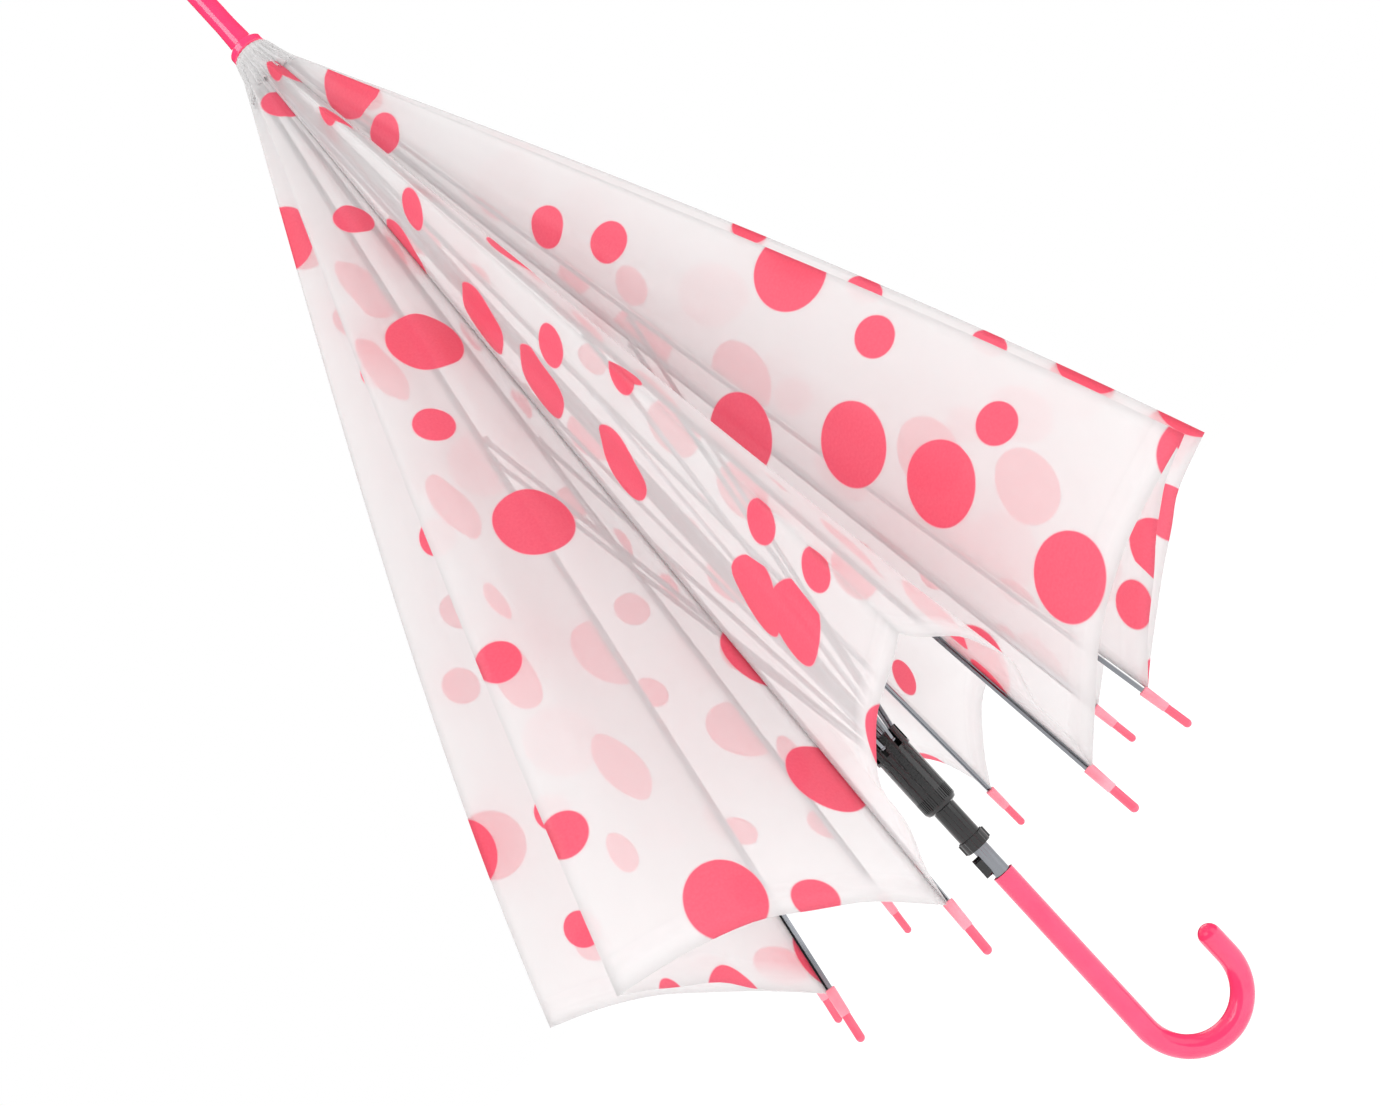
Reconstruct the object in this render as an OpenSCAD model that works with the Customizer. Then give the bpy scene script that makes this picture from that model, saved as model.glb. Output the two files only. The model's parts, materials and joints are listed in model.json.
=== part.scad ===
// Automatic stick umbrella with a loose film canopy.
// Frame: +Z runs up the shaft to the ferrule, +X is the side the hook curls to,
// and the origin is the middle of the straight grip.

/* [Ribs] */
// Length of a rib from its hinge to the end of its tip
rib_length = 685; // [600:5:760]
// Angle between a rib and the shaft with the umbrella closed and loose
splay = 10.3; // [9:0.1:12]
// Distance from the crown hinge to the stretcher pivot, and length of a stretcher
arm = 290; // [285:1:291]
// Width of the rib channel
rib_w = 3.0; // [2.8:0.1:3.2]
// Depth of the rib channel
rib_d = 2.6; // [2.4:0.1:3.4]
// Wall of the rib channel
rib_wall = 0.6; // [0.5:0.1:0.8]
// Length of the moulded rib tip
tip_length = 17; // [14:1:22]
// Diameter of the moulded rib tip
tip_d = 5; // [4.8:0.1:6]

/* [Shaft] */
// Outer diameter of the shaft tube
shaft_d = 10; // [8:0.5:10]
// Wall of the shaft tube
shaft_wall = 0.7; // [0.5:0.1:1]
// Height of the crown hinges above the middle of the grip
crown_height = 698; // [690:1:760]
// Radial play of the runner on the shaft
running_play = 0.05; // [0.02:0.01:0.1]

/* [Crown] */
// Radius of the ring of hinges at the crown and on the runner
hinge_r = 9; // [9:0.1:10]
// Outer radius of the crown notch and of the runner head
notch_r = 12; // [12:0.1:14]
// Outer radius of the collar under the ferrule
collar_r = 12; // [10:0.5:14]
// Height of the collar under the ferrule
collar_h = 6; // [4:1:9]
// Radius of the ferrule at its base
ferrule_r = 8; // [7:0.5:9]
// Radius of the straight part of the ferrule
ferrule_pin_r = 7.2; // [6.4:0.1:7.4]
// Length of the ferrule
ferrule_length = 74; // [60:1:110]

/* [Runner] */
// Radius of the runner housing
housing_r = 11; // [10.5:0.1:12]
// Length of the runner housing
housing_length = 41; // [36:1:44]
// Radius of the runner sleeve
sleeve_r = 7.2; // [6.8:0.1:8]
// Length of the runner sleeve
sleeve_length = 22; // [18:1:24]
// Radius of the runner flange
flange_r = 9.2; // [8.6:0.1:10]
// Thickness of the runner flange
flange_h = 7.6; // [6:0.2:8]

/* [Handle] */
// Diameter of the handle
handle_d = 13.6; // [13:0.1:16]
// Radius of the middle line of the hook
hook_r = 31; // [26:1:40]
// Length of the handle above the middle of the grip
grip_above = 30; // [26:1:32]
// Length of the straight handle below the middle of the grip
grip_below = 85; // [60:1:110]
// Length of the straight end of the hook
hook_end = 13; // [6:1:30]

/* [Release button] */
// Length of the button along the shaft
button_length = 13; // [10:1:13]
// Width of the button
button_w = 4.6; // [4:0.2:5]
// How far the button stands out of the shaft
button_rise = 4; // [3:0.2:5]

/* [Canopy] */
// Thickness of the folded film panels as solids
panel_thickness = 1; // [0.6:0.1:1.4]
// Rise of the fold away from its rib, per unit of rib length
fold_slope = 0.27; // [0.26:0.005:0.275]
// Distance along a rib from its hinge to the hem
hem_at_rib = 655; // [560:1:660]
// Distance along a rib from its hinge to the corner of the fold
hem_at_fold = 600; // [520:1:620]

/* [Hidden] */
$fn = 48;
// Ribs, and the angle of the first one round the shaft
rib_count = 8;
rib_step = 360 / rib_count;
first_rib = -14;
// Play round pivots, gap between parts that pass each other, and wire and pin radii
pivot_play = 0.05;
side_gap = 0.1;
wire_r = 0.6;
pin_r = 0.7;
open_pivot_play = 0.2;
// Overlap of two shapes that are joined in one solid
join = 0.2;
// Ends of pivots
rib_eye_r = 2;
eye_r = 1.6;
stretcher_w = 2;
stretcher_d = 2.4;
lug_w = 0.8;
lug_h = 5;
rib_inner = 1.8;
rib_outer = rib_inner + rib_d;
eye_length = 5;
slot_w = rib_w + 0.8;
slot_floor = hinge_r - rib_eye_r - 0.4;
// Heights
runner_pivot_z = crown_height - 2 * arm * cos(splay);
notch_below = 6;
notch_above = 8;
collar_z = crown_height + notch_above + 2;
ferrule_z = collar_z + collar_h;
shaft_in_ferrule = 30;
ferrule_taper = 20;
head_below = 7;
head_above = 6;
housing_top = runner_pivot_z - head_below;
housing_bottom = housing_top - housing_length;
sleeve_bottom = housing_bottom - sleeve_length;
flange_bottom = sleeve_bottom - flange_h;
shaft_r = shaft_d / 2;
bore_r = shaft_r + running_play;
handle_r = handle_d / 2;
socket_depth = 56;
chamber_r = 8.6;
chamber_wall = 4;
shoulder = 3;
// Button
button_z = 33;
button_side_gap = 0.3;
button_inner = 1;
leaf_t = 0.5;
leaf_x = -1;
leaf_length = 38;
leaf_w = 2.4;
// Spring
spring_r = 7;
spring_wire = 0.5;
spring_turns = 9;
spring_gap = 1.5;
spring_sides = 6;
spring_steps = 16;
// Canopy: the hem line of the ribs, the lean of a panel and the width it starts with
film_offset = rib_outer + 0.8;
half_step = rib_step / 2;
fold_lean = asin(tan(half_step) * sin(splay) / fold_slope / norm([1, tan(half_step) * cos(splay)]))
    + atan(tan(half_step) * cos(splay));
fold_start = (hinge_r + film_offset * cos(splay)) * fold_slope / sin(splay);
panel_top = 34;
rib_margin = 12;
fold_margin = 7;

function rib_angle(i) = first_rib + (i - 1) * rib_step;
function fold_w(t) = fold_start + fold_slope * t - fold_margin;
function spring_point(a, s, h) = [
    (spring_r + spring_wire * cos(s)) * cos(a),
    (spring_r + spring_wire * cos(s)) * sin(a),
    h * a / 360 / spring_turns + spring_wire * sin(s)
];

// Places children in the frame of a rib: hinge at the origin, rib along -Z, outside along +X
module at_rib(i) {
    rotate([0, 0, rib_angle(i)])
        translate([hinge_r, 0, crown_height])
            rotate([0, -splay, 0])
                children();
}

// Cylinder along Y, centred
module cross_cylinder(r, w) {
    rotate([90, 0, 0])
        cylinder(r = r, h = w, center = true);
}

module shaft_tube() {
    color("silver")
        difference() {
            translate([0, 0, grip_above - socket_depth])
                cylinder(r = shaft_r, h = ferrule_z + shaft_in_ferrule - grip_above + socket_depth);
            translate([0, 0, grip_above - socket_depth - 1])
                cylinder(r = shaft_r - shaft_wall, h = ferrule_z + shaft_in_ferrule + socket_depth);
            translate([-shaft_r - 1, -button_w / 2 - button_side_gap, button_z - button_side_gap])
                cube([shaft_r, button_w + 2 * button_side_gap, button_length + 2 * button_side_gap]);
        }
}

module handle() {
    color("hotpink") {
        difference() {
            translate([0, 0, -grip_below])
                cylinder(r = handle_r, h = grip_above + grip_below);
            translate([0, 0, grip_above - socket_depth])
                cylinder(r = shaft_r, h = socket_depth + 1);
        }
        translate([hook_r, 0, -grip_below])
            rotate([90, 0, 0])
                rotate([0, 0, 180])
                    rotate_extrude(angle = 180)
                        translate([hook_r, 0])
                            circle(r = handle_r);
        translate([2 * hook_r, 0, -grip_below])
            cylinder(r = handle_r, h = hook_end);
        translate([2 * hook_r, 0, -grip_below + hook_end])
            sphere(r = handle_r);
    }
}

module ferrule() {
    color("hotpink")
        translate([0, 0, ferrule_z])
            difference() {
                union() {
                    cylinder(r1 = ferrule_r, r2 = ferrule_pin_r, h = ferrule_taper);
                    translate([0, 0, ferrule_taper])
                        cylinder(r = ferrule_pin_r, h = ferrule_length - ferrule_pin_r - ferrule_taper);
                    translate([0, 0, ferrule_length - ferrule_pin_r])
                        sphere(r = ferrule_pin_r);
                }
                translate([0, 0, -1])
                    cylinder(r = shaft_r, h = shaft_in_ferrule + 1);
            }
}

module ferrule_collar() {
    edge = 1;
    color("deeppink")
        translate([0, 0, collar_z])
            rotate_extrude()
                polygon([
                    [shaft_r, 0], [collar_r - edge, 0], [collar_r, edge],
                    [collar_r, collar_h - edge], [collar_r - edge, collar_h], [shaft_r, collar_h]
                ]);
}

// Slotted ring that holds the eyes on a wire
module slotted_ring(bore, floor_z, top_z, slot_from, slot_to) {
    difference() {
        translate([0, 0, floor_z])
            cylinder(r = notch_r, h = top_z - floor_z);
        translate([0, 0, floor_z - 1])
            cylinder(r = bore, h = top_z - floor_z + 2);
        for (i = [1:rib_count])
            rotate([0, 0, rib_angle(i)])
                translate([slot_floor, -slot_w / 2, slot_from])
                    cube([notch_r, slot_w, slot_to - slot_from]);
        rotate_extrude()
            translate([hinge_r, 0])
                circle(r = wire_r);
    }
}

module hinge_wire() {
    rotate_extrude()
        translate([hinge_r, 0])
            circle(r = wire_r);
}

module crown_notch() {
    color("whitesmoke")
        translate([0, 0, crown_height])
            slotted_ring(shaft_r, -notch_below, notch_above, -notch_below - 1, rib_outer + 1);
}

module crown_wire() {
    color("silver")
        translate([0, 0, crown_height])
            hinge_wire();
}

module runner_head() {
    color("black")
        translate([0, 0, runner_pivot_z])
            slotted_ring(bore_r, -head_below, head_above, -head_below + 2, head_above + 1);
}

module runner_wire() {
    color("silver")
        translate([0, 0, runner_pivot_z])
            hinge_wire();
}

module runner_housing() {
    grip_lines = 48;
    grip_line_w = 0.5;
    grip_line_h = 7;
    grip_line_depth = 0.4;
    color("black")
        difference() {
            translate([0, 0, housing_bottom])
                rotate_extrude()
                    polygon([
                        [bore_r, 0], [housing_r - shoulder, 0], [housing_r - shoulder / 3, 1],
                        [housing_r, shoulder], [housing_r, housing_length],
                        [chamber_r, housing_length], [chamber_r, chamber_wall], [bore_r, chamber_wall]
                    ]);
            for (a = [1:grip_lines])
                rotate([0, 0, a * 360 / grip_lines])
                    translate([housing_r - grip_line_depth, -grip_line_w / 2, housing_bottom + shoulder + 1])
                        cube([1, grip_line_w, grip_line_h]);
        }
}

module runner_sleeve() {
    lug_count = 6;
    lug_r = 1.7;
    rim = 0.9;
    color("black")
        difference() {
            union() {
                translate([0, 0, flange_bottom])
                    cylinder(r = sleeve_r, h = sleeve_length + flange_h);
                translate([0, 0, flange_bottom])
                    cylinder(r = flange_r - rim, h = flange_h);
                for (a = [1:lug_count])
                    rotate([0, 0, a * 360 / lug_count])
                        translate([flange_r - lug_r, 0, flange_bottom + rim / 2])
                            cylinder(r = lug_r, h = flange_h - rim);
            }
            translate([0, 0, flange_bottom - 1])
                cylinder(r = bore_r, h = sleeve_length + flange_h + 2);
        }
}

module opening_spring() {
    height = housing_length - chamber_wall - 2 * spring_gap;
    rings = spring_turns * spring_steps;
    points = [
        for (k = [0:rings], s = [0:spring_sides - 1])
            spring_point(k * 360 / spring_steps, s * 360 / spring_sides, height)
    ];
    skin = [
        for (k = [0:rings - 1], s = [0:spring_sides - 1])
            let (n = (s + 1) % spring_sides)
                [k * spring_sides + s, k * spring_sides + n, (k + 1) * spring_sides + n, (k + 1) * spring_sides + s]
    ];
    first_end = [for (s = [0:spring_sides - 1]) spring_sides - 1 - s];
    last_end = [for (s = [0:spring_sides - 1]) rings * spring_sides + s];
    color("silver")
        translate([0, 0, housing_bottom + chamber_wall + spring_gap])
            polyhedron(points, concat(skin, [first_end, last_end]));
}

module release_button() {
    round_r = button_w / 2;
    reach = shaft_r + button_rise - button_inner - 1.5;
    color("black")
        translate([-shaft_r - button_rise, 0, button_z])
            rotate([0, 90, 0])
                linear_extrude(height = reach)
                    union() {
                        translate([-round_r, 0])
                            circle(r = round_r);
                        translate([-button_length + round_r, 0])
                            circle(r = round_r);
                        translate([-button_length + round_r, -round_r])
                            square([button_length - button_w, button_w]);
                    }
}

module button_spring() {
    foot = 2;
    color("silver")
        translate([0, -leaf_w / 2, button_z - foot * 3]) {
            translate([leaf_x, 0, 0])
                cube([leaf_t, leaf_w, leaf_length]);
            translate([leaf_x, 0, 0])
                cube([shaft_r - shaft_wall - leaf_x - join * 2, leaf_w, leaf_t]);
        }
}

// Channel with its open side towards the shaft, an eye at the crown and a lug with a pin
module rib(i) {
    bar_end = rib_length - tip_length + 4;
    color("lightgray")
        at_rib(i)
            difference() {
                union() {
                    cross_cylinder(rib_eye_r, rib_w);
                    translate([0, -rib_w / 2, -eye_length])
                        cube([rib_outer, rib_w, eye_length]);
                    translate([rib_inner, -rib_w / 2, -bar_end])
                        cube([rib_d, rib_w, bar_end]);
                    for (side = [-1, 1])
                        translate([0, side * (stretcher_w / 2 + side_gap + lug_w / 2), -arm])
                            translate([-eye_r, -lug_w / 2, -lug_h / 2])
                                cube([eye_r + rib_inner + join * 2, lug_w, lug_h]);
                    translate([0, 0, -arm])
                        cross_cylinder(pin_r, stretcher_w + 2 * lug_w);
                }
                translate([rib_inner - 1, rib_wall - rib_w / 2, -bar_end - 1])
                    cube([rib_d - rib_wall + 1, rib_w - 2 * rib_wall, bar_end - eye_length - 3]);
                cross_cylinder(wire_r + open_pivot_play, rib_w + 2);
            }
}

module tip(i) {
    color("hotpink")
        at_rib(i)
            translate([rib_inner + rib_d / 2, 0, -rib_length])
                difference() {
                    union() {
                        translate([0, 0, tip_d / 2])
                            sphere(d = tip_d);
                        translate([0, 0, tip_d / 2])
                            cylinder(d = tip_d, h = tip_length - tip_d / 2);
                    }
                    translate([-rib_d / 2, -rib_w / 2, tip_length - 4])
                        cube([rib_d, rib_w, 6]);
                }
}

module stretcher(i) {
    color("lightgray")
        at_rib(i)
            translate([0, 0, -arm])
                rotate([0, 2 * splay, 0])
                    difference() {
                        union() {
                            cross_cylinder(eye_r, stretcher_w);
                            translate([-stretcher_d / 2, -stretcher_w / 2, -arm])
                                cube([stretcher_d, stretcher_w, arm]);
                            translate([0, 0, -arm])
                                cross_cylinder(eye_r, stretcher_w);
                        }
                        cross_cylinder(pin_r + pivot_play, stretcher_w + 2);
                        translate([0, 0, -arm])
                            cross_cylinder(wire_r + open_pivot_play, stretcher_w + 2);
                    }
}

// Half of a gore, from its rib to the fold; side is 1 towards the next rib and -1 towards the last
module panel(i, side) {
    color("mistyrose")
        at_rib(i)
            translate([film_offset, 0, 0])
                rotate([0, 0, side * fold_lean])
                    rotate([90, 0, 0])
                        linear_extrude(height = panel_thickness, center = true)
                            polygon([
                                [rib_margin, -panel_top],
                                [fold_w(panel_top), -panel_top],
                                [fold_w(hem_at_fold), -hem_at_fold],
                                [rib_margin, -hem_at_rib]
                            ]);
}

shaft_tube();
handle();
ferrule();
ferrule_collar();
crown_notch();
crown_wire();
runner_head();
runner_wire();
runner_housing();
runner_sleeve();
opening_spring();
release_button();
button_spring();
for (i = [1:rib_count]) {
    rib(i);
    tip(i);
    stretcher(i);
    panel(i, -1);
    panel(i, 1);
}
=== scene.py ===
"""Frosted film stick umbrella: the film canopy, its gather and sleeves, finishes and the stage."""
import json
import math

import bmesh
import bpy
from bpy.props import FloatProperty, PointerProperty, StringProperty
from mathutils import Matrix, Vector
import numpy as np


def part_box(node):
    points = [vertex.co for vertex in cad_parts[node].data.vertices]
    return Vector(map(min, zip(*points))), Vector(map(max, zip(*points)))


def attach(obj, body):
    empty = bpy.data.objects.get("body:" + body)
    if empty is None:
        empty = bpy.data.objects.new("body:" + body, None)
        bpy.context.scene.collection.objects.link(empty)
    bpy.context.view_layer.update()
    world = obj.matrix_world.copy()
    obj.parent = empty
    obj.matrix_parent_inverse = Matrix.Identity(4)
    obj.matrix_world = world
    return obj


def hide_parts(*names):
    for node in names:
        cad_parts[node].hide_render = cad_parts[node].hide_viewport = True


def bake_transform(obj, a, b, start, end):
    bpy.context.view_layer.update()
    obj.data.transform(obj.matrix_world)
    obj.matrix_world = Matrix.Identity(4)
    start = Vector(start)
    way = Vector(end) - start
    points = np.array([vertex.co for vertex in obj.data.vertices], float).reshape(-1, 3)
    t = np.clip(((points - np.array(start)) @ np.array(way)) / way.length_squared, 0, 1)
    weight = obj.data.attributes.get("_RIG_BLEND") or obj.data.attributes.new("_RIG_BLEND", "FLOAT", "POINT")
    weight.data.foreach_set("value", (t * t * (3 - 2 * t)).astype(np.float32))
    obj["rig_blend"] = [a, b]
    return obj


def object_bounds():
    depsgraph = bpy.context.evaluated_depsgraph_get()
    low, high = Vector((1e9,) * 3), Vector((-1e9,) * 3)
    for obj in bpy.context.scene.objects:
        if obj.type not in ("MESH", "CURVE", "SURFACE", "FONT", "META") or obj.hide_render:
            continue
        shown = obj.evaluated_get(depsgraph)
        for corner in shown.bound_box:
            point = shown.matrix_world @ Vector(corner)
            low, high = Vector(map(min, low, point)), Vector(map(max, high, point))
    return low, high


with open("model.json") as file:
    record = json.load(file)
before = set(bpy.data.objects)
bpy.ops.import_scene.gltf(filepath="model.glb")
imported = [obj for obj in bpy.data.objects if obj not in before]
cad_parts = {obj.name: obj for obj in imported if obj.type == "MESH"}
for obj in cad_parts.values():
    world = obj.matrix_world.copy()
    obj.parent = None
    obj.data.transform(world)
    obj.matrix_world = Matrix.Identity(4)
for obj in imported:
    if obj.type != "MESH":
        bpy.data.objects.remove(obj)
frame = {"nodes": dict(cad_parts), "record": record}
CAD_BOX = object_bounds()

bl_info = {
    "name": "Film umbrella",
    "version": (1, 0, 0),
    "blender": (4, 5, 0),
    "location": "View3D > Sidebar > Umbrella",
    "description": "Builds the film canopy of a stick umbrella and its finishes",
    "category": "Object",
}

RIBS = 8
SIDES = (("left", -1), ("right", 1))
HALF_STEP = math.pi / RIBS

JOINTS = {joint["name"]: joint for joint in frame["record"]["behaviour"]["joints"]}


def srgb(code):
    """Linear colour from an sRGB hex code."""
    parts = [int(code[i:i + 2], 16) / 255 for i in (1, 3, 5)]
    linear = [c / 12.92 if c <= 0.04045 else ((c + 0.055) / 1.055) ** 2.4 for c in parts]
    return (*linear, 1.0)


# The frame's own places

def rib_hinge(index):
    """The crown hinge of a rib, and the rib's direction round the shaft."""
    point = Vector(JOINTS[f"rib_{index}_hinge"]["pos_m"])
    return point, math.atan2(point.y, point.x)


def rib_matrix(index):
    """The frame of a rib at rest: hinge at the origin, rib along -Z, outside along +X."""
    hinge, turn = rib_hinge(index)
    pivot = Vector(JOINTS[f"stretcher_{index}_pivot"]["pos_m"])
    along = (pivot - hinge).normalized()
    splay = math.atan2(math.hypot(along.x, along.y), -along.z)
    return (Matrix.Translation(hinge) @ Matrix.Rotation(turn, 4, "Z")
            @ Matrix.Rotation(-splay, 4, "Y")), splay


class UmbrellaSizes(bpy.types.PropertyGroup):
    """Sizes of the film canopy."""

    hem_at_rib: FloatProperty(
        name="Hem at rib", description="Distance from the crown hinge to the hem, along a rib",
        default=0.655, unit="LENGTH")
    hem_at_fold: FloatProperty(
        name="Hem at fold", description="Distance from the crown hinge to the corner of the fold",
        default=0.600, unit="LENGTH")
    fold_slope: FloatProperty(
        name="Fold slope", description="Rise of the fold away from its rib, per unit of length",
        default=0.27)
    film_offset: FloatProperty(
        name="Film offset", description="Height of the film's seam outside the rib's hinge line",
        default=0.0052, unit="LENGTH")
    puff: FloatProperty(
        name="Puff", description="How far the two layers of a fold stand apart near the hem",
        default=0.013, unit="LENGTH")
    film_thickness: FloatProperty(
        name="Film thickness", description="Thickness of the film", default=0.0003, unit="LENGTH")
    large_dot: FloatProperty(
        name="Large dot", description="Radius of the large printed dots", default=0.0225, unit="LENGTH")
    small_dot: FloatProperty(
        name="Small dot", description="Radius of the small printed dots", default=0.0125, unit="LENGTH")
    dot_spacing: FloatProperty(
        name="Dot spacing", description="Distance between the printed dots", default=0.084, unit="LENGTH")


class UmbrellaColours(bpy.types.PropertyGroup):
    """Colours of the film and the plastic parts, as sRGB hex codes."""

    film: StringProperty(name="Film", description="Frosted film", default="#F1F0F0")
    dot: StringProperty(name="Dot", description="Printed dots", default="#FF8199")
    handle: StringProperty(name="Handle", description="Handle and ferrule", default="#FF4A78")
    tip: StringProperty(name="Tip", description="Rib tips", default="#FF6B84")
    black: StringProperty(name="Black", description="Runner and button", default="#08080A")


def add_node(tree, kind, settings=None, links=None):
    """Adds a node with its settings, and links its inputs from other nodes' outputs."""
    node = tree.nodes.new(kind)
    for name, value in (settings or {}).items():
        if isinstance(name, int) or name in node.inputs:
            node.inputs[name].default_value = value
        else:
            setattr(node, name, value)
    for name, source in (links or {}).items():
        tree.links.new(source, node.inputs[name])
    return node


def new_material(name):
    """An empty node material and its output node."""
    material = bpy.data.materials.new(name)
    material.use_nodes = True
    material.node_tree.nodes.clear()
    return material, material.node_tree, material.node_tree.nodes.new("ShaderNodeOutputMaterial")


def film_material(sizes, colours):
    """Frosted POE film, calendered and printed with matt dots.

    It scatters light softly and lets the layers behind it show.
    """
    material, tree, out = new_material("frosted_poe_film")
    uv = add_node(tree, "ShaderNodeUVMap", {"uv_map": "gore"})
    # The dots sit on jittered cells, and a random value per cell picks the large or the small size
    cells = add_node(
        tree, "ShaderNodeTexVoronoi",
        {"voronoi_dimensions": "2D", "Scale": 1 / sizes.dot_spacing, "Randomness": 0.74},
        {"Vector": uv.outputs["UV"]})
    pick = add_node(tree, "ShaderNodeSeparateColor", None, {"Color": cells.outputs["Color"]})
    large = add_node(tree, "ShaderNodeMath", {"operation": "GREATER_THAN", 1: 0.5}, {0: pick.outputs[0]})
    radius = add_node(
        tree, "ShaderNodeMapRange",
        {"To Min": sizes.small_dot / sizes.dot_spacing, "To Max": sizes.large_dot / sizes.dot_spacing},
        {"Value": large.outputs[0]})
    edge = add_node(
        tree, "ShaderNodeMath", {"operation": "SUBTRACT"},
        {0: radius.outputs[0], 1: cells.outputs["Distance"]})
    dot = add_node(
        tree, "ShaderNodeMapRange", {"From Min": 0.0, "From Max": 0.012}, {"Value": edge.outputs[0]})
    # The welded hem and the seam along each rib are two layers thick
    band = add_node(tree, "ShaderNodeAttribute", {"attribute_name": "band"})
    # Printed ink has a fine speckle of about 1.5 mm
    speckle = add_node(
        tree, "ShaderNodeTexNoise", {"Scale": 650.0, "Detail": 2.0}, {"Vector": uv.outputs["UV"]})
    ink = add_node(
        tree, "ShaderNodeMix",
        {"data_type": "RGBA", 6: srgb(colours.dot), 7: srgb("#F76F8B")},
        {0: speckle.outputs[0]})
    colour = add_node(
        tree, "ShaderNodeMix", {"data_type": "RGBA", 6: srgb(colours.film)},
        {0: dot.outputs[0], 7: ink.outputs[2]})
    crease = add_node(
        tree, "ShaderNodeTexNoise", {"Scale": 26.0, "Detail": 5.0, "Roughness": 0.6},
        {"Vector": uv.outputs["UV"]})
    grain = add_node(
        tree, "ShaderNodeBump", {"Strength": 0.25, "Distance": 0.002}, {"Height": crease.outputs[0]})
    surface = add_node(
        tree, "ShaderNodeBsdfPrincipled", {"Roughness": 0.42, "IOR": 1.5},
        {"Base Color": colour.outputs[2], "Normal": grain.outputs[0]})
    glow = add_node(tree, "ShaderNodeBsdfTranslucent", None, {"Color": colour.outputs[2]})
    body = add_node(tree, "ShaderNodeMixShader", {0: 0.55}, {1: surface.outputs[0], 2: glow.outputs[0]})
    clear = add_node(tree, "ShaderNodeBsdfTransparent", {"Color": (1.0, 1.0, 1.0, 1.0)})
    thick = add_node(
        tree, "ShaderNodeMapRange", {"To Min": 0.46, "To Max": 0.72}, {"Value": band.outputs["Fac"]})
    cover = add_node(
        tree, "ShaderNodeMapRange", {"To Max": 0.86},
        {"Value": dot.outputs[0], "To Min": thick.outputs[0]})
    mixed = add_node(
        tree, "ShaderNodeMixShader", None,
        {0: cover.outputs[0], 1: clear.outputs[0], 2: body.outputs[0]})
    tree.links.new(mixed.outputs[0], out.inputs[0])
    return material


def plastic(name, colour, darker, roughness, coat, grain_mm):
    """Injection moulded plastic: glossy, with slight waves from the mould and a faintly cloudy colour."""
    material, tree, out = new_material(name)
    place = add_node(tree, "ShaderNodeTexCoord")
    cloud = add_node(
        tree, "ShaderNodeTexNoise", {"Scale": 60.0, "Detail": 3.0}, {"Vector": place.outputs["Object"]})
    tint = add_node(
        tree, "ShaderNodeMix", {"data_type": "RGBA", 6: srgb(colour), 7: srgb(darker)},
        {0: cloud.outputs[0]})
    wave = add_node(
        tree, "ShaderNodeTexNoise", {"Scale": 1000 / grain_mm, "Detail": 2.0},
        {"Vector": place.outputs["Object"]})
    bump = add_node(
        tree, "ShaderNodeBump", {"Strength": 0.08, "Distance": 0.0004}, {"Height": wave.outputs[0]})
    rough = add_node(
        tree, "ShaderNodeMapRange", {"To Min": roughness * 0.8, "To Max": roughness * 1.3},
        {"Value": wave.outputs[0]})
    shader = add_node(
        tree, "ShaderNodeBsdfPrincipled",
        {"IOR": 1.49, "Coat Weight": coat, "Coat Roughness": 0.06},
        {"Base Color": tint.outputs[2], "Normal": bump.outputs[0], "Roughness": rough.outputs[0]})
    tree.links.new(shader.outputs[0], out.inputs[0])
    return material


def metal(name, colour, roughness, draw_mm):
    """Drawn or rolled steel with bright plating: fine lines along its length."""
    material, tree, out = new_material(name)
    place = add_node(tree, "ShaderNodeTexCoord")
    stretch = add_node(
        tree, "ShaderNodeMapping", {"Scale": (1000 / draw_mm, 1000 / draw_mm, 12.0)},
        {"Vector": place.outputs["Object"]})
    lines = add_node(
        tree, "ShaderNodeTexNoise", {"Scale": 1.0, "Detail": 3.0}, {"Vector": stretch.outputs[0]})
    rough = add_node(
        tree, "ShaderNodeMapRange", {"To Min": roughness * 0.6, "To Max": roughness * 1.6},
        {"Value": lines.outputs[0]})
    bump = add_node(
        tree, "ShaderNodeBump", {"Strength": 0.05, "Distance": 0.0002}, {"Height": lines.outputs[0]})
    shader = add_node(
        tree, "ShaderNodeBsdfPrincipled", {"Base Color": srgb(colour), "Metallic": 1.0},
        {"Roughness": rough.outputs[0], "Normal": bump.outputs[0]})
    tree.links.new(shader.outputs[0], out.inputs[0])
    return material


def mesh_object(name, bm, material):
    """A finished piece from a bmesh, smooth shaded."""
    mesh = bpy.data.meshes.new(name)
    for face in bm.faces:
        face.smooth = True
    bm.to_mesh(mesh)
    bm.free()
    piece = bpy.data.objects.new(name, mesh)
    bpy.context.scene.collection.objects.link(piece)
    mesh.materials.append(material)
    return piece


# Steps of the film's grid along a rib and from the rib to the fold
LONG_STEPS = 72
CROSS_STEPS = 22
# The seam leaves the gather this far above the hinge and this far out from it
SEAM_START = Vector((0.0045, 0.0, 0.0045))
SEAM_LEAD = 0.03
HEM_BAND = 0.012
SEAM_BAND = 0.004
# How far the corner of each gore's fold hangs in towards the shaft and rides up, in metres
FOLD_HANG = {1: (0.014, 0.0), 5: (0.040, 0.004), 6: (0.012, 0.0), 7: (0.050, 0.034), 8: (0.030, 0.012)}
LOOSE_FOLD = (0.018, 0.0)
PLEATS = 24
# The clear sleeve over each rib tip: its size, how far out it sits and how far past the hem
SLEEVE_RADIUS = 0.0031
SLEEVE_LENGTH = 0.016
SLEEVE_BEVEL = 0.0007
SLEEVE_OFFSET = 0.0031
SLEEVE_PAST_HEM = 0.006
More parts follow.
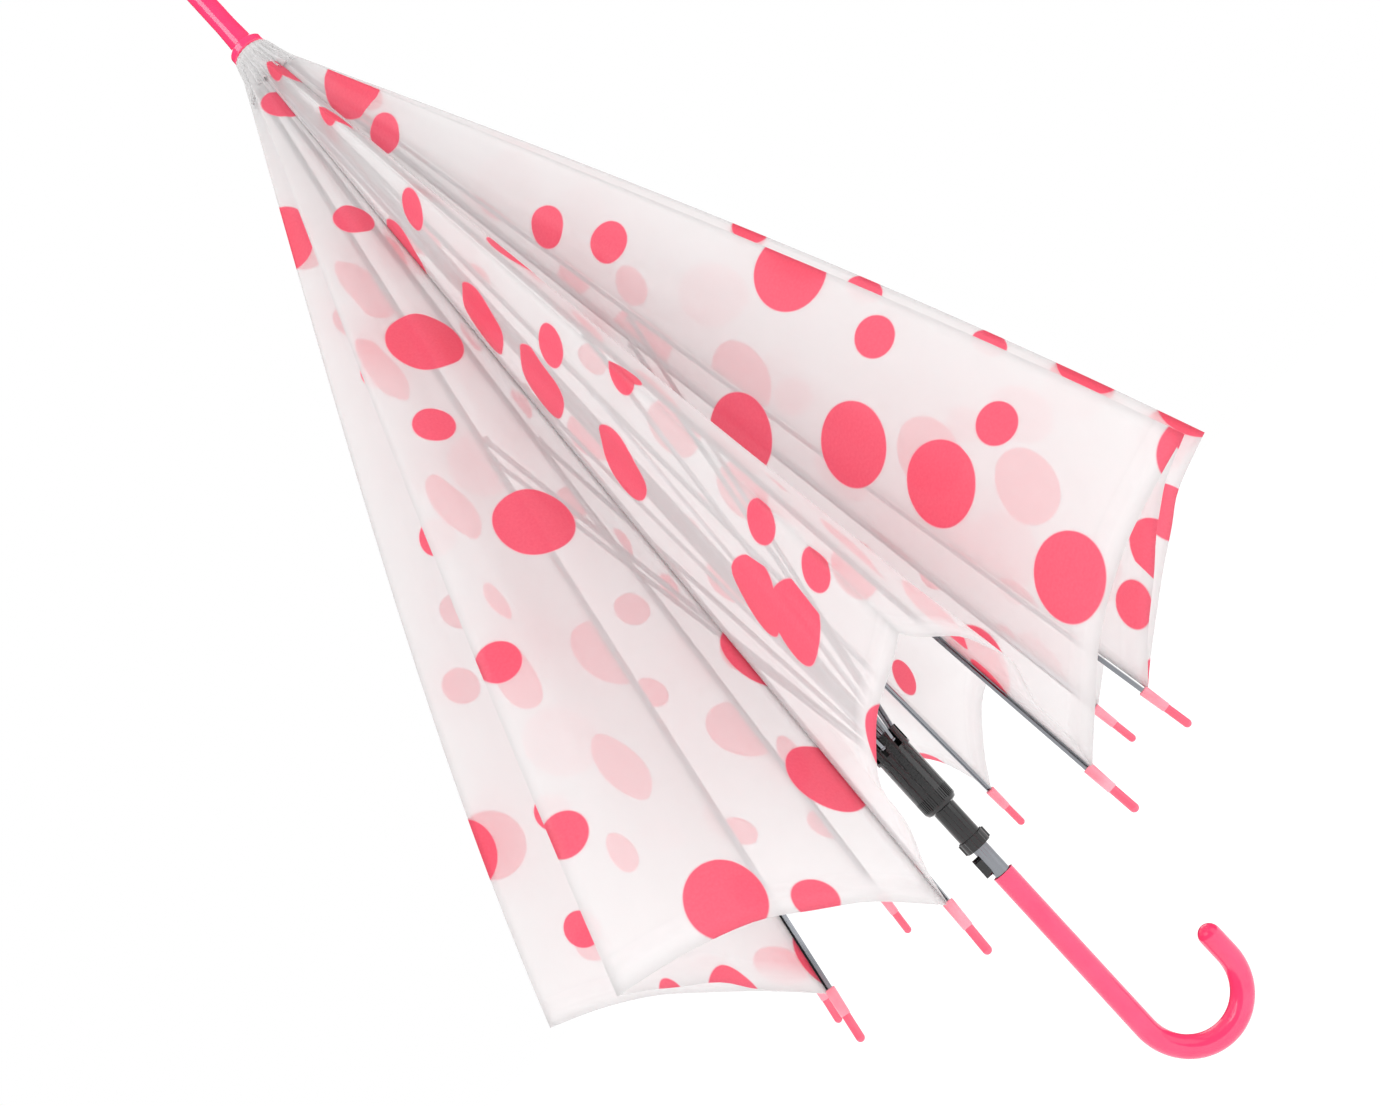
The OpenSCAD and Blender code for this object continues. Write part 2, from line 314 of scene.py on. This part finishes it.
# The camera, set for the loose umbrella lying slantwise across the view
CAMERA_TILT = math.radians(7.5)
CAMERA_SLANT = math.radians(42.48)
CAMERA_DISTANCE = 0.931
SENSOR_MM = 36
LENS_MM = 40.8677
AIM_BELOW_CROWN = 0.411
AIM_SIDE = -0.008
FLOOR_GAP = 0.06


def crown_width(index, sizes):
    """Width of a half gore at the crown, where the film's line at the rib is level with the hinge."""
    hinge = rib_hinge(index)[0]
    splay = rib_matrix(index)[1]
    reach = math.hypot(hinge.x, hinge.y) + sizes.film_offset * math.cos(splay)
    return reach * sizes.fold_slope / math.sin(splay)


def panel_shape(index, side, sizes):
    """The places of a half gore: its rib seam, its fold and its outward direction, in the row frame."""
    matrix, splay = rib_matrix(index)
    turn = rib_hinge(index)[1]
    spread = math.tan(HALF_STEP)
    start_w = crown_width(index, sizes)
    lean = (math.asin(spread * math.sin(splay) / sizes.fold_slope / math.hypot(1, spread * math.cos(splay)))
            + math.atan(spread * math.cos(splay)))
    outward = Vector((math.cos(lean), side * math.sin(lean), 0))
    across = Vector((math.sin(lean), -side * math.cos(lean), 0))
    corner = (Vector((sizes.film_offset, 0, -sizes.hem_at_fold))
              + outward * (start_w + sizes.fold_slope * sizes.hem_at_fold))
    mid = turn + side * HALF_STEP
    ring = (matrix @ SEAM_START)
    top = Vector((math.cos(mid), math.sin(mid), 0)) * math.hypot(ring.x, ring.y)
    top.z = ring.z
    return matrix, outward, (matrix.to_3x3() @ across).normalized(), top, matrix @ corner


def seam_point(matrix, t, sizes):
    """A point of the rib seam, led in from the gather over a short stretch."""
    line = Vector((sizes.film_offset, 0, -t))
    ease = min(t / SEAM_LEAD, 1.0)
    ease = ease * ease * (3 - 2 * ease)
    return matrix @ (SEAM_START * (1 - ease) + line * ease + Vector((0, 0, -t)) * (1 - ease) * 0.3)


def build_panel(index, name, side, sizes, material):
    """Half a gore of film: a grid from its rib to the fold, puffed and creased between them."""
    matrix, outward, normal, top, corner = panel_shape(index, side, sizes)
    bm = bmesh.new()
    uv = bm.loops.layers.uv.new("gore")
    bmesh.ops.create_grid(bm, x_segments=CROSS_STEPS, y_segments=LONG_STEPS, size=0.5)
    bm.verts.layers.float.new("band")
    band = bm.verts.layers.float["band"]
    gore = index if side > 0 else (index - 2) % RIBS + 1
    places = {}
    for vert in bm.verts:
        v = vert.co.x + 0.5
        u = vert.co.y + 0.5
        seam = seam_point(matrix, u * sizes.hem_at_rib, sizes)
        fold = top.lerp(corner, u)
        # A free fold bows a little, and its corner hangs in and rides up
        away = Vector((top.x, top.y, 0)).normalized()
        inward, lift = FOLD_HANG.get(gore, LOOSE_FOLD)
        fold += away * (0.005 * math.sin(math.pi * u) * math.sin(gore * 2.1) - inward * u ** 3)
        fold.z += lift * u ** 3
        width = (fold - seam).length
        loose = math.sin(math.pi * v) * u
        crease = (math.sin(v * 9 + u * 3 + gore * 1.7) * 0.5
                  + math.sin(v * 19 - u * 4 + gore * 2.3) * 0.25
                  + math.sin(u * 11 + v * 5 + gore) * 0.3)
        hem = math.sin(math.pi * v) * 0.014 * u ** 3
        vert.co = (seam.lerp(fold, v) + normal * (loose * (sizes.puff + 0.006 * crease))
                   + Vector((0, 0, hem)))
        distance = v * width
        vert[band] = 1.0 if (u > 1 - HEM_BAND / sizes.hem_at_rib * 0.9 or distance < SEAM_BAND) else 0.0
        places[vert] = (side * (1 - v) * width * -1 + gore * 0.531, u * sizes.hem_at_rib + gore * 0.217)
    for face in bm.faces:
        for loop in face.loops:
            loop[uv].uv = places[loop.vert]
    if sum(f.normal.dot(normal) for f in bm.faces) < 0:
        bmesh.ops.reverse_faces(bm, faces=bm.faces)
    piece = mesh_object(f"film_{index}_{name}", bm, material)
    solid = piece.modifiers.new("film", "SOLIDIFY")
    solid.thickness = sizes.film_thickness
    solid.offset = 0.0
    seam_mid = matrix @ Vector((sizes.film_offset, 0, -sizes.hem_at_fold / 2))
    reach = (matrix.to_3x3() @ outward).normalized()
    body = f"panel_{index}_{name}"
    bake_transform(piece, f"rib_{index}", body, start=tuple(seam_mid), end=tuple(seam_mid + reach * 0.045))
    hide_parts(body)
    # The film's cut is a half gore: narrow at the crown and widest at the hem
    return piece


class UmbrellaFilm(bpy.types.Operator):
    """Makes the film gores, half a gore at a time."""

    bl_idname = "umbrella.film"
    bl_label = "Film gores"

    def execute(self, context):
        sizes = context.scene.umbrella_sizes
        material = film_material(sizes, context.scene.umbrella_colours)
        for index in range(1, RIBS + 1):
            for name, side in SIDES:
                build_panel(index, name, side, sizes, material)
        return {"FINISHED"}


class UmbrellaGather(bpy.types.Operator):
    """Makes the ruffled film that is gathered under the collar."""

    bl_idname = "umbrella.gather"
    bl_label = "Crown gather"

    def execute(self, context):
        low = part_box("ferrule_collar")[0]
        notch_low, notch_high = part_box("crown_notch")
        notch_r = (notch_high[0] - notch_low[0]) / 2
        bm = bmesh.new()
        # The outline runs out over the notch and down over the rib ends
        outline = [(0.0062, low[2] - 0.0010), (notch_r + 0.0008, low[2] - 0.0011),
                   (notch_r + 0.0016, low[2] - 0.004), (notch_r + 0.0032, notch_low[2] + 0.004),
                   (notch_r + 0.0052, notch_low[2] - 0.004), (notch_r + 0.0085, notch_low[2] - 0.013)]
        verts = [bm.verts.new((r, 0, z)) for r, z in outline]
        edges = [bm.edges.new(pair) for pair in zip(verts, verts[1:])]
        bmesh.ops.spin(bm, geom=verts + edges, cent=(0, 0, 0), axis=(0, 0, 1), angle=2 * math.pi,
                       steps=PLEATS * 8, use_merge=True)
        bmesh.ops.remove_doubles(bm, verts=bm.verts, dist=0.00001)
        for vert in bm.verts:
            radius = math.hypot(vert.co.x, vert.co.y)
            swell = max(radius - notch_r, 0) * 0.12
            turn = math.atan2(vert.co.y, vert.co.x)
            scale = 1 + swell * math.sin(turn * PLEATS) / radius * 2
            vert.co.x *= scale
            vert.co.y *= scale
        bmesh.ops.recalc_face_normals(bm, faces=bm.faces)
        band = bm.verts.layers.float.new("band")
        for vert in bm.verts:
            vert[band] = 1.0
        bm.loops.layers.uv.new("gore")
        # The gather's cut isn't worked out: this is the made shape's own area, and its flat size is nominal
        area = sum(f.calc_area() for f in bm.faces)
        piece = mesh_object("crown_gather", bm, bpy.data.materials["frosted_poe_film"])
        solid = piece.modifiers.new("film", "SOLIDIFY")
        solid.thickness = context.scene.umbrella_sizes.film_thickness
        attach(piece, "root")
        return {"FINISHED"}


class UmbrellaSleeves(bpy.types.Operator):
    """Makes the clear sleeves that join the corners of the film to the rib tips."""

    bl_idname = "umbrella.sleeves"
    bl_label = "Tip sleeves"

    def execute(self, context):
        colours = context.scene.umbrella_colours
        sizes = context.scene.umbrella_sizes
        material = plastic("soft_pvc_sleeve", "#FFB4C0", colours.tip, 0.3, 0.4, 2.0)
        for index in range(1, RIBS + 1):
            matrix, _splay = rib_matrix(index)
            bm = bmesh.new()
            bmesh.ops.create_cone(bm, cap_ends=True, segments=24, radius1=SLEEVE_RADIUS * 0.92,
                                  radius2=SLEEVE_RADIUS, depth=SLEEVE_LENGTH)
            rims = [e for e in bm.edges if len(e.link_faces) == 2 and e.calc_face_angle() > 1]
            bmesh.ops.bevel(bm, geom=rims, offset=SLEEVE_BEVEL, offset_type="OFFSET", affect="EDGES",
                            segments=3, profile=0.5, material=-1)
            bmesh.ops.transform(
                bm, verts=bm.verts,
                matrix=matrix @ Matrix.Translation((SLEEVE_OFFSET, 0, -sizes.hem_at_rib - SLEEVE_PAST_HEM)))
            piece = mesh_object(f"tip_sleeve_{index}", bm, material)
            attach(piece, f"rib_{index}")
        return {"FINISHED"}


class UmbrellaFinishes(bpy.types.Operator):
    """Gives the handle, shaft, ribs, runner and small parts their materials."""

    bl_idname = "umbrella.finishes"
    bl_label = "Finishes"

    def execute(self, context):
        colours = context.scene.umbrella_colours
        pink = plastic("moulded_pink_acrylic", colours.handle, "#FF2E66", 0.16, 0.6, 4.0)
        soft = plastic("moulded_pink_tip", colours.tip, "#F2526E", 0.3, 0.3, 2.0)
        black = plastic("moulded_black_abs", colours.black, "#0C0C0E", 0.12, 0.3, 1.5)
        white = plastic("moulded_white_nylon", "#E8E6E4", "#D8D6D4", 0.4, 0.1, 1.2)
        chrome = metal("bright_chrome_plate", "#85878C", 0.08, 0.4)
        steel = metal("plated_spring_steel", "#B9BCC0", 0.2, 0.3)
        finish = {"handle": pink, "ferrule": pink, "ferrule_collar": pink, "shaft_tube": chrome,
                  "crown_notch": white, "crown_wire": steel, "button_spring": steel,
                  "runner_head": black, "runner_housing": black, "runner_sleeve": black,
                  "runner_wire": steel, "opening_spring": steel, "release_button": black}
        for index in range(1, RIBS + 1):
            finish[f"rib_{index}"] = chrome
            finish[f"stretcher_{index}"] = chrome
            finish[f"tip_{index}"] = soft
        for node, material in finish.items():
            piece = frame["nodes"][node]
            piece = piece if hasattr(piece, "data") else bpy.data.objects[node]
            piece.data.materials.clear()
            piece.data.materials.append(material)
        return {"FINISHED"}


class UmbrellaStage(bpy.types.Operator):
    """Makes the pale floor, the soft lights and the camera."""

    bl_idname = "umbrella.stage"
    bl_label = "Stage"

    def execute(self, context):
        scene = context.scene
        bm = bmesh.new()
        bmesh.ops.create_grid(bm, x_segments=1, y_segments=1, size=8.0)
        bmesh.ops.translate(bm, verts=bm.verts, vec=(0, 0, CAD_BOX[0][2] - FLOOR_GAP))
        floor_material, tree, out = new_material("pale_floor_paint")
        place = add_node(tree, "ShaderNodeTexCoord")
        noise = add_node(tree, "ShaderNodeTexNoise", {"Scale": 3.0}, {"Vector": place.outputs["Object"]})
        tint = add_node(
            tree, "ShaderNodeMix", {"data_type": "RGBA", 6: srgb("#FBFBFB"), 7: srgb("#F7F7F7")},
            {0: noise.outputs[0]})
        shader = add_node(
            tree, "ShaderNodeBsdfPrincipled",
            {"Roughness": 0.9, "Specular IOR Level": 0.0, "Emission Color": (1, 1, 1, 1),
             "Emission Strength": 0.12},
            {"Base Color": tint.outputs[2]})
        tree.links.new(shader.outputs[0], out.inputs[0])
        mesh_object("floor", bm, floor_material)

        world = bpy.data.worlds.new("studio")
        scene.world = world
        scene.view_settings.view_transform = "Standard"
        world.use_nodes = True
        # Bright metal and black plastic reflect a dark studio with the lamps in it, as on a black-flagged set
        sky = world.node_tree
        sky.nodes.clear()
        light_path = add_node(sky, "ShaderNodeLightPath")
        bright = add_node(sky, "ShaderNodeBackground", {"Color": (1, 1, 1, 1), "Strength": 1.0})
        dark = add_node(sky, "ShaderNodeBackground", {"Color": (1, 1, 1, 1), "Strength": 0.06})
        both = add_node(
            sky, "ShaderNodeMixShader", None,
            {0: light_path.outputs["Is Glossy Ray"], 1: bright.outputs[0], 2: dark.outputs[0]})
        add_node(sky, "ShaderNodeOutputWorld", None, {0: both.outputs[0]})

        crown = rib_hinge(1)[0].z
        aim = Vector((AIM_SIDE, 0, crown - AIM_BELOW_CROWN))
        lamps = (("key", Vector((-0.9, -1.3, 1.5)), 16, 1.2), ("fill", Vector((1.4, -0.9, 0.3)), 5, 1.4),
                 ("rim", Vector((0.4, 1.5, 1.2)), 8, 1.2))
        for name, place, power, size in lamps:
            lamp = bpy.data.lights.new(name, "AREA")
            lamp.energy = power
            lamp.size = size
            light = bpy.data.objects.new(name, lamp)
            light.matrix_world = (Matrix.Translation(aim + place)
                                  @ (-place).to_track_quat("-Z", "Y").to_matrix().to_4x4())
            scene.collection.objects.link(light)

        # The handle's end leans towards the camera, which is rolled so that the shaft runs slantwise
        away = Vector((0, math.cos(CAMERA_TILT), math.sin(CAMERA_TILT)))
        shaft = Vector((0, -math.sin(CAMERA_TILT), math.cos(CAMERA_TILT)))
        side = Vector((1, 0, 0))
        right = side * math.cos(CAMERA_SLANT) - shaft * math.sin(CAMERA_SLANT)
        up = side * math.sin(CAMERA_SLANT) + shaft * math.cos(CAMERA_SLANT)
        camera_data = bpy.data.cameras.new("camera")
        camera_data.sensor_width = SENSOR_MM
        camera_data.lens = LENS_MM
        camera = bpy.data.objects.new("camera", camera_data)
        turn = Matrix((right, up, -away)).transposed().to_4x4()
        camera.matrix_world = Matrix.Translation(aim - away * CAMERA_DISTANCE) @ turn
        scene.collection.objects.link(camera)
        scene.camera = camera
        return {"FINISHED"}


class UmbrellaPanel(bpy.types.Panel):
    """Lists the umbrella's operators in the sidebar."""

    bl_idname = "VIEW3D_PT_umbrella"
    bl_label = "Umbrella"
    bl_space_type = "VIEW_3D"
    bl_region_type = "UI"
    bl_category = "Umbrella"

    def draw(self, context):
        for operator in OPERATORS:
            self.layout.operator(operator.bl_idname)


OPERATORS = (UmbrellaFilm, UmbrellaGather, UmbrellaSleeves, UmbrellaFinishes, UmbrellaStage)
CLASSES = (UmbrellaSizes, UmbrellaColours, *OPERATORS, UmbrellaPanel)


def register():
    for cls in CLASSES:
        bpy.utils.register_class(cls)
    bpy.types.Scene.umbrella_sizes = PointerProperty(type=UmbrellaSizes)
    bpy.types.Scene.umbrella_colours = PointerProperty(type=UmbrellaColours)


def unregister():
    del bpy.types.Scene.umbrella_colours
    del bpy.types.Scene.umbrella_sizes
    for cls in reversed(CLASSES):
        bpy.utils.unregister_class(cls)


def main():
    register()
    bpy.ops.umbrella.film()
    bpy.ops.umbrella.gather()
    bpy.ops.umbrella.sleeves()
    bpy.ops.umbrella.finishes()
    bpy.ops.umbrella.stage()


if __name__ == "__main__":
    main()
